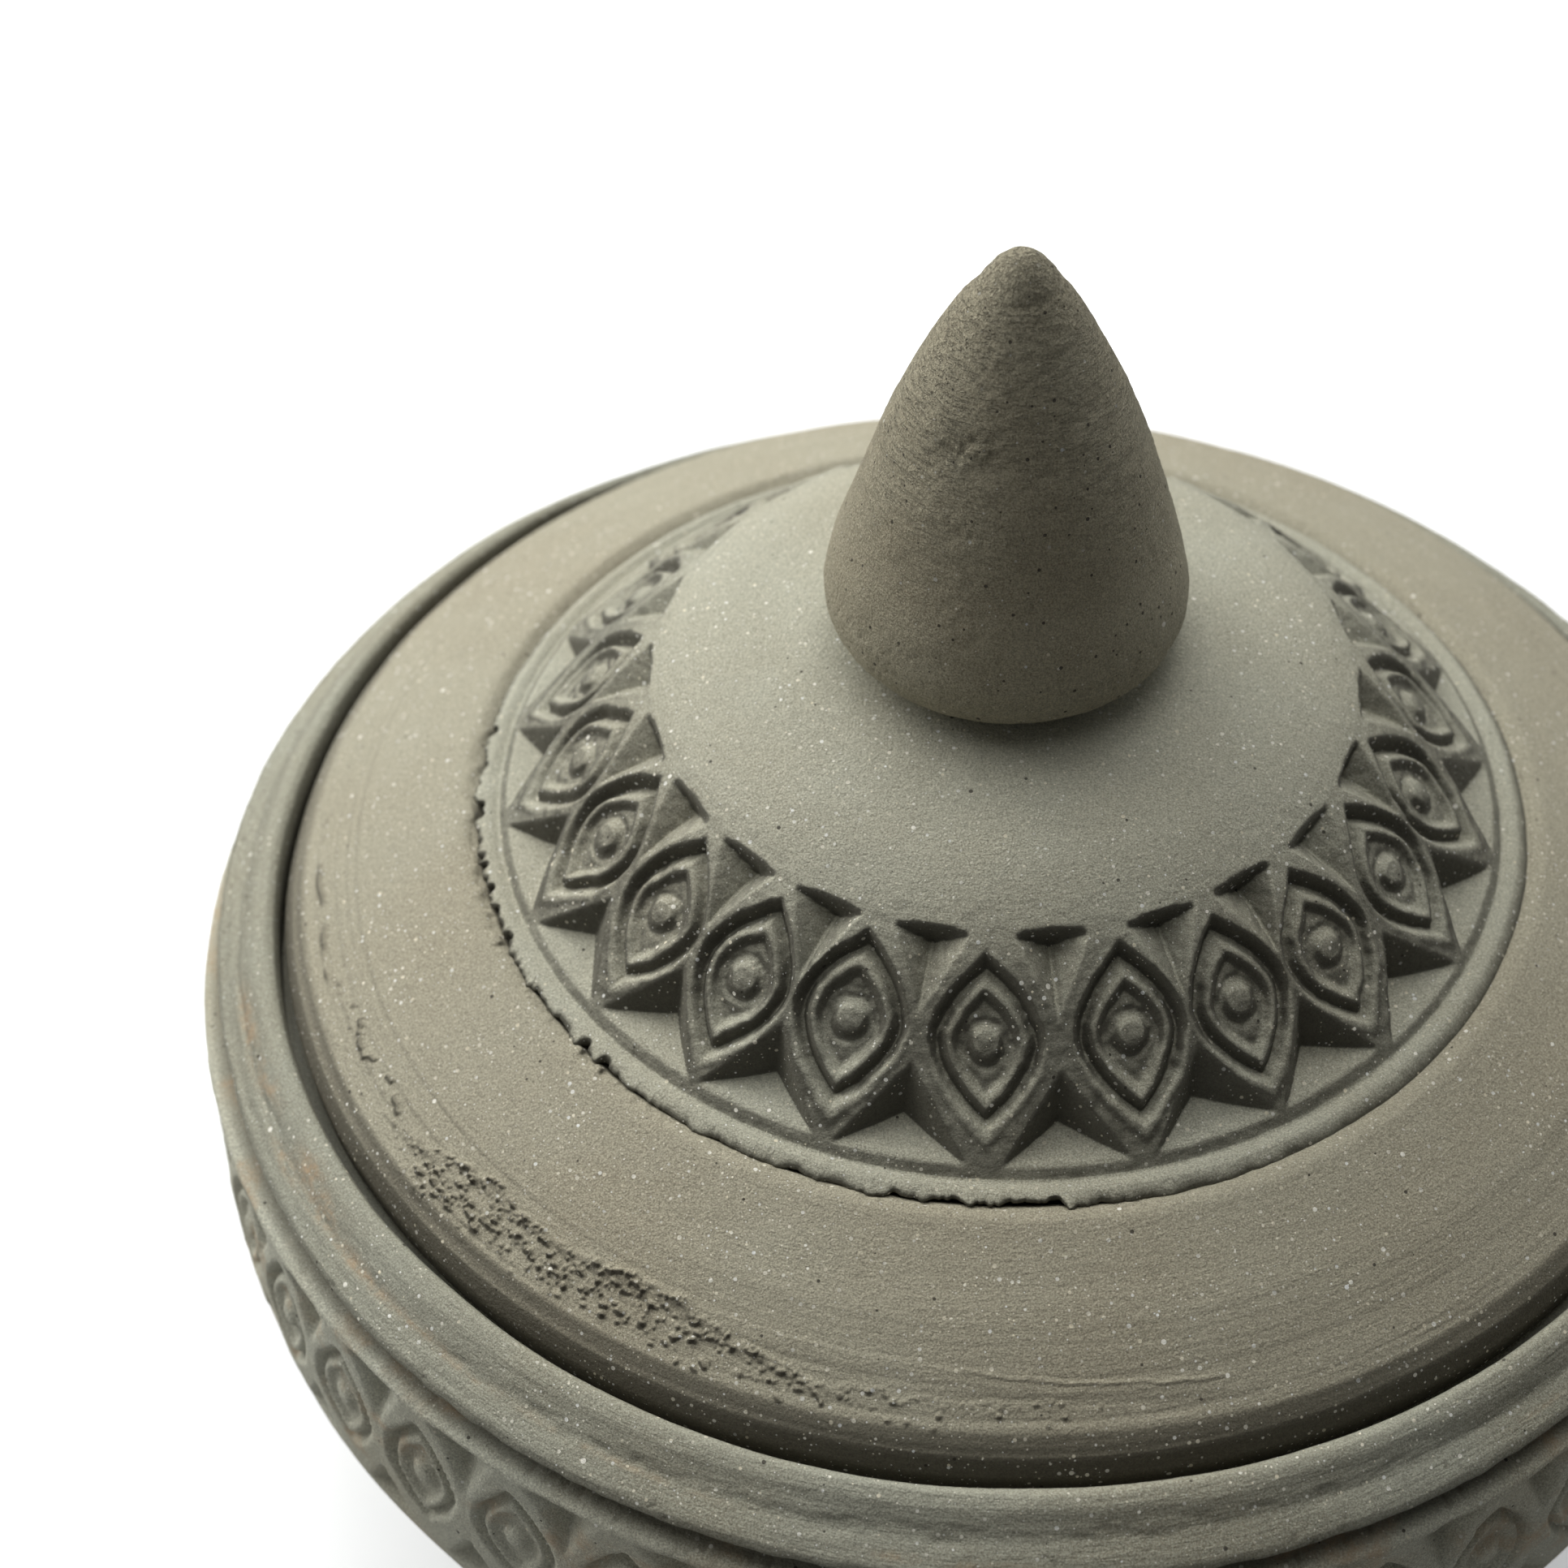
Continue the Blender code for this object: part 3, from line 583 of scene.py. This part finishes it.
def coil_height(theta, s, r, z):
    theta = wrap(theta)
    x, y = r * np.sin(theta), r * np.cos(theta)
    arc, rr = theta * 75.0, r / K
    zz = (z - GAP) / K + 66.0
    h = 0.16 * fbm(x / 18, y / 18, z / 18, 101, 3) + 0.03 * noise(arc / 14, rr * 2.6, z * 1.3, 102)
    h = h + 0.05 * fbm(arc / 5.0, rr * 1.2, zz, 104, 3)
    h = h + 0.02 * fbm(x / 0.8, y / 0.8, z / 0.8, 105, 2)
    # ragged lower edge and pits in the undercut
    low = bump_at(zz, 63.5, 0.55) * (rr > 75.5)
    h = h + 0.16 * low * fbm(arc / 2.2, 0 * r, 0 * r, 107, 4, 0.6)
    pits, tag = cells(arc / 0.9, zz / 0.5, 109)
    hole = step(0.34, 0.12, pits) * (tag > 0.86) * (rr > 74.8) * step(-0.1, 0.3, fbm(arc / 4.0, zz / 2, 0 * r, 108, 2))
    h = h - 0.12 * hole
    # pressed scrapes in the top, and the ledge's torn line round the front
    scrape = fbm(arc / 3.0, rr / 0.35, 0 * r, 113, 4, 0.6)
    h = h - 0.10 * step(0.10, 0.35, scrape) * bump_at(rr, 74.3, 0.9) * (zz > 64.5)
    # the wall beside the lid keeps to the lid; the coil thins and sinks under the lid's edge at the back right
    beside = step(75.0, 72.2, rr)
    deg = np.degrees(theta)
    push = beside * (LID_SHIFT[0] * np.sin(theta) - LID_SHIFT[1] * np.cos(theta))
    spot = np.interp(deg, [-180, -165, -150, -138, 70, 115, 150, 180], [1.0, 0.85, 0.55, 0.1, 0.0, 0.85, 1.0, 1.0])
    spot = spot * spot * (3 - 2 * spot)
    lift = -1.9 * spot * step(63.2, 65.5, zz)
    push = push - 0.45 * bump_at(deg, -90, 32) * beside - 0.9 * spot * step(73.0, 75.0, rr) - 0.75 * bump_at(deg, -74, 22) * step(73.5, 76.0, rr)
    ochre = np.zeros_like(r)
    grainy = 0.5 + 0.5 * fbm(arc / 2.2, rr / 0.40, zz, 111, 4, 0.6)
    for angle, radius, wide, thick, amount in SMEARS:
        ochre = np.maximum(ochre, amount * bump_at(np.degrees(theta), angle, wide) * bump_at(rr, radius, thick) * step(0.30, 0.55, grainy))
    # painted shade: the pits, the undercut under the coil and the gap beside the lid get a darkening attribute
    return h, push, {"lift": lift, "ochre": ochre * (zz > 64.2), "recess_shade": np.clip(hole + step(63.6, 63.0, zz) * (rr > 72) + step(66.8, 65.0, zz) * (rr < 71.8), 0, 1)}


rim_coil = revolve("clay_rim_coil", coil_profile, coil_height)

# bowl, from the base's middle out, up the belly, over the ledge and down the inside
BELLY_FINE, BELLY_COARSE = 1188, 297


def belly_radius(z):
    if z <= 45.0:
        return 78.5 * math.sqrt(1.0 - ((45.0 - z) / 56.0) ** 2)
    return float(np.interp(z, [45, 49, 53, 57, 60.3], [78.5, 78.5, 78.15, 77.65, 77.9]))


bowl_points = [(0.0, 0.35, 3.0, BELLY_COARSE), (30.0, 0.3, 2.5, BELLY_COARSE), (41.0, 0.05, 2.0, BELLY_COARSE), (44.6, 0.0, 0.8, BELLY_COARSE)]
for z in (1.2, 4, 8, 12, 16, 20, 24, 28, 32):
    bowl_points.append((belly_radius(z), z, 1.3, BELLY_COARSE))
for z in (35.5, 38, 41, 45, 49, 53, 57):
    bowl_points.append((belly_radius(z), z, 0.36, BELLY_FINE))
bowl_points += [
    (77.95, 60.3, 0.34, BELLY_FINE), (77.75, 60.9, 0.3, BELLY_FINE), (77.0, 61.25, 0.3, BELLY_FINE), (75.6, 61.4, 0.6, BELLY_FINE), (74.2, 62.15, 2.0, BELLY_COARSE),
    (63.8, 62.15, 0.8, BELLY_COARSE), (63.0, 61.3, 1.0, BELLY_COARSE), (63.4, 58.8, 1.6, BELLY_COARSE), (67.0, 54.5, 1.8, BELLY_COARSE), (69.8, 50.0, 2.5, BELLY_COARSE),
    (70.0, 44.0, 2.5, BELLY_COARSE), (68.8, 36.0, 2.5, BELLY_COARSE), (65.6, 27.0, 2.5, BELLY_COARSE), (60.0, 18.5, 2.5, BELLY_COARSE), (52.0, 11.0, 2.2, BELLY_COARSE),
    (44.0, 8.8, 3.0, BELLY_COARSE), (0.0, 8.5, 3.0, BELLY_COARSE),
]
bowl_profile = Profile([(p[0] * BOWL_R / 78.5, p[1] * SEAT / 62.2) + tuple(p[2:]) for p in bowl_points], soft=0.4)


def bowl_height(theta, s, r, z):
    theta = wrap(theta)
    x, y = r * np.sin(theta), r * np.cos(theta)
    outside = (r > 72) & (z > 20)
    h = 0.30 * fbm(x / 26, y / 26, z / 26, 121, 3) * ((z < 58) | (r < 60))
    h = h * step(0.0, 6.0, z)
    on = outside & (z > 33) & (z < 61.8)
    down = 60.3 - z[on]
    recess_shade, deep, ochre = np.zeros_like(r), np.zeros_like(r), np.zeros_like(r)
    carved, sunk, hidden = band(
        theta[on], down, r[on], BELLY_EYES, 10.0, 0.90,
        ([(-3.9, 0.2), (3.9, 0.2), (0.0, 7.9)], (0.0, 1.7), 2.4),
        ([(0.0, 14.2), (4.2, 22.0), (-4.2, 22.0)], (0.0, 19.4), 2.4), 131)
    h[on] = h[on] + carved * step(-0.5, 0.1, down)
    recess_shade[on], deep[on] = sunk, hidden
    arc = theta * 78.0
    h = h + 0.03 * fbm(x / 0.9, y / 0.9, z / 0.9, 141, 3) * outside
    h = h + 0.035 * noise(arc / 16, z / 0.9, 0 * r, 143) * outside
    # wiped lines low on the wall
    h = h + 0.05 * noise(arc / 40, z / 2.2, 0 * r, 145) * (z < 40) * (z > 3) * (r > 44)
    lip = bump_at(z, 61.1, 0.6) * (r > 76)
    h = h + 0.12 * lip * fbm(arc / 3.0, 0 * r, 0 * r, 147, 4, 0.6)
    pits, tag = cells(arc / 0.8, z / 0.5, 149)
    hole = step(0.36, 0.12, pits) * (tag > 0.80) * step(60.8, 61.4, z) * (r > 75)
    h = h - 0.12 * hole
    smear = fbm(x / 5.5, y / 5.5, z / 4.0, 151, 3)
    ochre[on] = 0.55 * step(0.12, 0.5, smear[on]) * np.clip(1 - hidden * 1.5, 0, 1)
    # painted shade: the stamped hollows, the chips, the pits and the groove under the coil get a darkening attribute
    groove = step(61.1, 61.5, z) * (r > 73)
    return h, 0 * h, {"recess_shade": np.clip(0.35 * recess_shade + 0.35 * deep + 0.5 * hole + groove, 0, 1), "wear": deep, "ochre": ochre}


bowl = revolve("clay_bowl", bowl_profile, bowl_height)


# ---- materials ---------------------------------------------------------------------------------------------------

class Nodes:
    """A small helper that adds nodes and joins them."""

    def __init__(self, name):
        self.material = bpy.data.materials.new(name)
        self.material.use_nodes = True
        self.tree = self.material.node_tree
        self.shader = self.tree.nodes["Principled BSDF"]

    def add(self, kind, inputs=None, **settings):
        node = self.tree.nodes.new(kind)
        for key, value in settings.items():
            setattr(node, key, value)
        for key, value in (inputs or {}).items():
            self.put(node.inputs[key], value)
        return node

    def put(self, socket, value):
        if isinstance(value, bpy.types.NodeSocket):
            self.tree.links.new(value, socket)
        else:
            socket.default_value = value

    def math(self, operation, a, b=0.0, c=None, clamp=False):
        node = self.add("ShaderNodeMath", {0: a, 1: b}, operation=operation, use_clamp=clamp)
        if c is not None:
            self.put(node.inputs[2], c)
        return node.outputs[0]

    def span(self, value, low, high, out_low=0.0, out_high=1.0):
        return self.add("ShaderNodeMapRange", {"Value": value, "From Min": low, "From Max": high, "To Min": out_low, "To Max": out_high}).outputs[0]

    def mix(self, factor, a, b, blend="MIX"):
        node = self.add("ShaderNodeMix", data_type="RGBA", blend_type=blend)
        self.put(node.inputs[0], factor)
        self.put(node.inputs[6], a)
        self.put(node.inputs[7], b)
        return node.outputs[2]

    def noise(self, vector, scale, detail=3.0, rough=0.55, lacunarity=2.0):
        return self.add("ShaderNodeTexNoise", {"Vector": vector, "Scale": scale, "Detail": detail, "Roughness": rough, "Lacunarity": lacunarity}).outputs[0]

    def specks(self, vector, cell, share, size, spread):
        """1 inside randomly chosen specks: cell is the spacing and size the radius, both in metres."""
        node = self.add("ShaderNodeTexVoronoi", {"Vector": vector, "Scale": 1.0 / cell, "Randomness": 1.0}, feature="F1")
        colour = self.add("ShaderNodeSeparateColor", {0: node.outputs["Color"]})
        chosen = self.math("GREATER_THAN", colour.outputs[0], 1.0 - share)
        radius = self.math("MULTIPLY_ADD", colour.outputs[1], spread / cell, size / cell)
        inside = self.math("LESS_THAN", node.outputs["Distance"], radius)
        return self.math("MULTIPLY", chosen, inside), colour.outputs[2]


def clay(name, base, warm, lines=0.3, grit=0.3, mica=1.0, pit_shade=0.3, ochre=(0.50, 0.36, 0.22, 1.0), turn=0.006, scratch=0.0, shade=0.0):
    n = Nodes(name)
    coords = n.add("ShaderNodeTexCoord").outputs["Object"]
    place = n.add("ShaderNodeSeparateXYZ", {0: coords})
    around = n.math("ARCTAN2", place.outputs[0], n.math("MULTIPLY", place.outputs[1], -1.0))
    radius = n.math("SQRT", n.math("ADD", n.math("MULTIPLY", place.outputs[0], place.outputs[0]), n.math("MULTIPLY", place.outputs[1], place.outputs[1])))
    stretched = n.add("ShaderNodeCombineXYZ", {0: n.math("MULTIPLY", around, turn), 1: radius, 2: place.outputs[2]}).outputs[0]
    recess_shade = n.add("ShaderNodeAttribute", attribute_name="recess_shade").outputs["Fac"]
    smear = n.add("ShaderNodeAttribute", attribute_name="ochre").outputs["Fac"]
    wear = n.add("ShaderNodeAttribute", attribute_name="wear").outputs["Fac"]
    dim = lambda c, f: (c[0] * f, c[1] * f, c[2] * f, 1.0)

    # colour: slow drift, pale bloom, wiped streaks, coarse and fine grain
    drift = n.span(n.noise(coords, 42.0, 3.0, 0.5), 0.35, 0.65)
    colour = n.mix(drift, base, warm)
    bloom = n.span(n.noise(coords, 130.0, 2.0, 0.5), 0.54, 0.74)
    colour = n.mix(n.math("MULTIPLY", bloom, 0.22, clamp=True), colour, (base[0] * 1.22, base[1] * 1.26, base[2] * 1.34, 1.0))
    streak = n.span(n.noise(stretched, 900.0, 3.0, 0.65), 0.3, 0.7)
    colour = n.mix(n.math("MULTIPLY", streak, 0.22), colour, dim(warm, 0.80))
    grain = n.span(n.noise(coords, 2600.0, 2.0, 0.7), 0.28, 0.72)
    colour = n.mix(n.math("MULTIPLY", grain, 0.46), colour, dim(base, 0.50))
    dust = n.span(n.noise(coords, 6000.0, 1.0, 0.6), 0.35, 0.68)
    colour = n.mix(n.math("MULTIPLY", dust, 0.50), colour, dim(base, 1.9))
    # painted shade: the attribute set in hollows, pits, cracks, gaps and undercuts darkens them towards the warm colour
    colour = n.mix(n.math("MULTIPLY", recess_shade, 0.70, clamp=True), colour, dim(warm, 0.40))
    blot = n.span(n.noise(coords, 900.0, 4.0, 0.7), 0.40, 0.60)
    colour = n.mix(n.math("MULTIPLY", smear, n.math("MULTIPLY_ADD", blot, 0.85, 0.30), clamp=True), colour, ochre)
    # painted shade: steep faces are darkened by the tilt of their normal, faces that look up keep their colour
    if shade:
        level = n.add("ShaderNodeSeparateXYZ", {0: n.add("ShaderNodeNewGeometry").outputs["Normal"]}).outputs[2]
        steep = n.math("SUBTRACT", 1.0, n.span(level, 0.62, 0.87))
        colour = n.mix(n.math("MULTIPLY", steep, shade, clamp=True), colour, dim(warm, 0.18))
    # mica: fine sparkle in patches, larger specks, a few flakes
    patch = n.span(n.noise(coords, 95.0, 2.0, 0.5), 0.36, 0.66)
    for cell, share, size, spread, amount in ((0.00095, 0.50, 0.00009, 0.00011, 1.0), (0.00055, 0.66, 0.00005, 0.00005, 0.95)):
        speck, tone = n.specks(coords, cell, share * mica, size, spread)
        bright = n.mix(tone, (0.82, 0.76, 0.58, 1.0), (0.92, 0.94, 0.92, 1.0))
        colour = n.mix(n.math("MULTIPLY", speck, n.math("MULTIPLY_ADD", patch, amount * 0.65, amount * 0.35)), colour, bright)
    flake, _ = n.specks(coords, 0.0027, 0.26 * mica, 0.00013, 0.00014)
    colour = n.mix(flake, colour, (0.92, 0.90, 0.80, 1.0))
    # painted shade: tiny pits are coloured near black, and the bump below sinks them a little
    hole, _ = n.specks(coords, 0.0012, 0.30 * pit_shade, 0.00006, 0.00013)
    colour = n.mix(n.math("MULTIPLY", hole, 0.82), colour, (0.030, 0.024, 0.018, 1.0))
    n.put(n.shader.inputs["Base Color"], colour)

    rough = n.math("MULTIPLY_ADD", grain, 0.16, 0.68)
    rough = n.math("SUBTRACT", rough, n.math("MULTIPLY", flake, 0.35))
    n.put(n.shader.inputs["Roughness"], rough)
    n.put(n.shader.inputs["Specular IOR Level"], 0.35)

    # relief: turning lines stretched round the axis, grit, and pits
    line = n.noise(stretched, 2600.0, 2.0, 0.6)
    sand = n.noise(coords, 2600.0, 4.0, 0.75)
    coarse = n.noise(coords, 620.0, 3.0, 0.6)
    height = n.math("MULTIPLY", line, lines)
    height = n.math("ADD", height, n.math("MULTIPLY", sand, grit))
    height = n.math("ADD", height, n.math("MULTIPLY", coarse, 0.4 * grit))
    if scratch:
        thin = n.add("ShaderNodeCombineXYZ", {0: n.math("MULTIPLY", around, 0.0016), 1: n.math("MULTIPLY", radius, 0.4), 2: place.outputs[2]}).outputs[0]
        cut = n.span(n.noise(thin, 3400.0, 3.0, 0.7), 0.52, 0.64)
        height = n.math("SUBTRACT", height, n.math("MULTIPLY", n.math("MULTIPLY", cut, wear), scratch))
    height = n.math("SUBTRACT", height, n.math("MULTIPLY", hole, 0.8))
    bump = n.add("ShaderNodeBump", {"Height": height, "Strength": 0.95, "Distance": 0.00028})
    n.put(n.shader.inputs["Normal"], bump.outputs[0])
    return n.material


CLAY_BASE = (0.372, 0.352, 0.266, 1.0)
CLAY_WARM = (0.335, 0.300, 0.215, 1.0)
finish = {
    "bowl": clay("clay_bowl_finish", (0.50, 0.505, 0.415, 1.0), (0.42, 0.375, 0.265, 1.0), lines=0.3, grit=0.8, mica=0.7, pit_shade=0.8),
    "rim": clay("clay_rim_finish", (0.335, 0.338, 0.272, 1.0), (0.290, 0.266, 0.190, 1.0), lines=0.4, grit=0.65, mica=1.0, pit_shade=0.45, shade=0.35),
    "dome": clay("clay_dome_finish", (0.415, 0.413, 0.330, 1.0), (0.380, 0.356, 0.265, 1.0), lines=0.3, grit=0.8, mica=1.2, pit_shade=0.4, shade=0.85),
    "flange": clay("clay_flange_finish", CLAY_BASE, CLAY_WARM, lines=0.28, grit=0.75, mica=1.3, pit_shade=0.45, shade=0.75),
    "knob": clay("clay_knob_finish", (0.440, 0.412, 0.300, 1.0), (0.378, 0.327, 0.222, 1.0), lines=0.9, grit=2.6, mica=0.3, pit_shade=2.8, turn=0.0012, scratch=3.0),
}

PLACES = (
    (bowl, "bowl", "pot", "pot_bowl", "clay_body"),
    (rim_coil, "rim", "pot", "pot_rim_coil", "clay_rim"),
    (lid_dome, "dome", "lid", "lid_dome", "clay_lid"),
    (lid_flange, "flange", "lid", "lid_flange", "clay_lid"),
    (lid_knob, "knob", "lid", "lid_knob", "clay_knob"),
)
for piece, look, body, node, slot in PLACES:
    piece.data.materials.append(finish[look])
    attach(piece, body)
    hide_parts(node)


# ---- floor, light and camera ------------------------------------------------------------------------------------------

scene = bpy.context.scene
floor_mesh = bpy.data.meshes.new("floor")
half = 4.0
floor_mesh.from_pydata([(-half, -half, 0), (half, -half, 0), (half, half, 0), (-half, half, 0)], [], [(0, 1, 2, 3)])
floor = bpy.data.objects.new("floor", floor_mesh)
floor.location.z = -0.0003
scene.collection.objects.link(floor)
pale = Nodes("pale_floor")
seen = pale.add("ShaderNodeLightPath").outputs["Is Camera Ray"]
pale.put(pale.shader.inputs["Base Color"], pale.mix(seen, (0.38, 0.38, 0.38, 1.0), (0.93, 0.945, 0.96, 1.0)))
pale.put(pale.shader.inputs["Roughness"], 0.9)
far = pale.add("ShaderNodeVectorMath", {0: pale.add("ShaderNodeTexCoord").outputs["Object"]}, operation="LENGTH").outputs["Value"]
glow = pale.span(far, 0.45, 2.2, 0.34, 1.0)
pale.put(pale.shader.inputs["Emission Color"], (0.97, 0.985, 1.0, 1.0))
pale.put(pale.shader.inputs["Emission Strength"], pale.math("MULTIPLY", seen, glow))
floor_mesh.materials.append(pale.material)

world = bpy.data.worlds.new("studio")
scene.world = world
world.use_nodes = True
tree = world.node_tree
background = tree.nodes["Background"]
path = tree.nodes.new("ShaderNodeLightPath")
strength = tree.nodes.new("ShaderNodeMapRange")
strength.inputs["To Min"].default_value = 0.05     # as light
strength.inputs["To Max"].default_value = 1.05      # as seen
tree.links.new(path.outputs["Is Camera Ray"], strength.inputs["Value"])
tree.links.new(strength.outputs[0], background.inputs["Strength"])
background.inputs["Color"].default_value = (0.96, 0.98, 1.0, 1.0)


def panel(name, place, aim, width, power, colour):
    light = bpy.data.lights.new(name, "AREA")
    light.shape = "DISK"
    light.size = width
    light.energy = power
    light.color = colour
    obj = bpy.data.objects.new(name, light)
    obj.location = place
    obj.rotation_euler = (Vector(aim) - Vector(place)).to_track_quat("-Z", "Y").to_euler()
    obj.visible_camera = False
    scene.collection.objects.link(obj)


# broad panels round the back and sides and none in front, each as (turn from the front, height angle, power)
PANELS = (
    (-150, 35, 6.5), (-120, 35, 6.5), (150, 35, 1.5), (180, 60, 4.2), (150, 60, 1.5), (120, 10, 2.2), (-120, 10, 3.0), (0, 90, 2.2), (-90, 10, 0.9), (-60, 10, 0.6),
)
for turn, lift, power in PANELS:
    a, e = math.radians(turn), math.radians(lift)
    away = Vector((math.sin(a) * math.cos(e), -math.cos(a) * math.cos(e), math.sin(e)))
    middle = Vector((0, 0, 0.08))
    panel("panel_%d_%d" % (turn, lift), middle + away * 1.2, middle, 0.85, power, (1.0, 0.99, 0.97))

camera_data = bpy.data.cameras.new("camera")
camera = bpy.data.objects.new("camera", camera_data)
scene.collection.objects.link(camera)
scene.camera = camera
camera_data.sensor_width = 36.0
camera_data.lens = 65.45
camera_data.clip_start = 0.01
axis = Vector((LID_SHIFT[0] * MM, LID_SHIFT[1] * MM, GAP * MM))
reach = LID_R * MM
camera.location = axis + Vector((-0.29236, -2.76673, 2.95879)) * reach
right, up, forward = Vector((0.99971, -0.01698, -0.01686)), Vector((0.02393, 0.70944, 0.70436)), Vector((0.0, 0.70456, -0.70965))
forward = forward.normalized()
right = (right - forward * right.dot(forward)).normalized()
up = right.cross(forward)
camera.rotation_mode = "QUATERNION"
camera.rotation_quaternion = Matrix((right, up, -forward)).transposed().to_quaternion()

focus = bpy.data.objects.new("focus", None)
focus.location = axis + Vector((0, 0, 0.85 * reach))
scene.collection.objects.link(focus)
camera_data.dof.use_dof = True
camera_data.dof.focus_object = focus
camera_data.dof.aperture_fstop = 26.0

scene.view_settings.view_transform = "Standard"
scene.view_settings.look = "None"
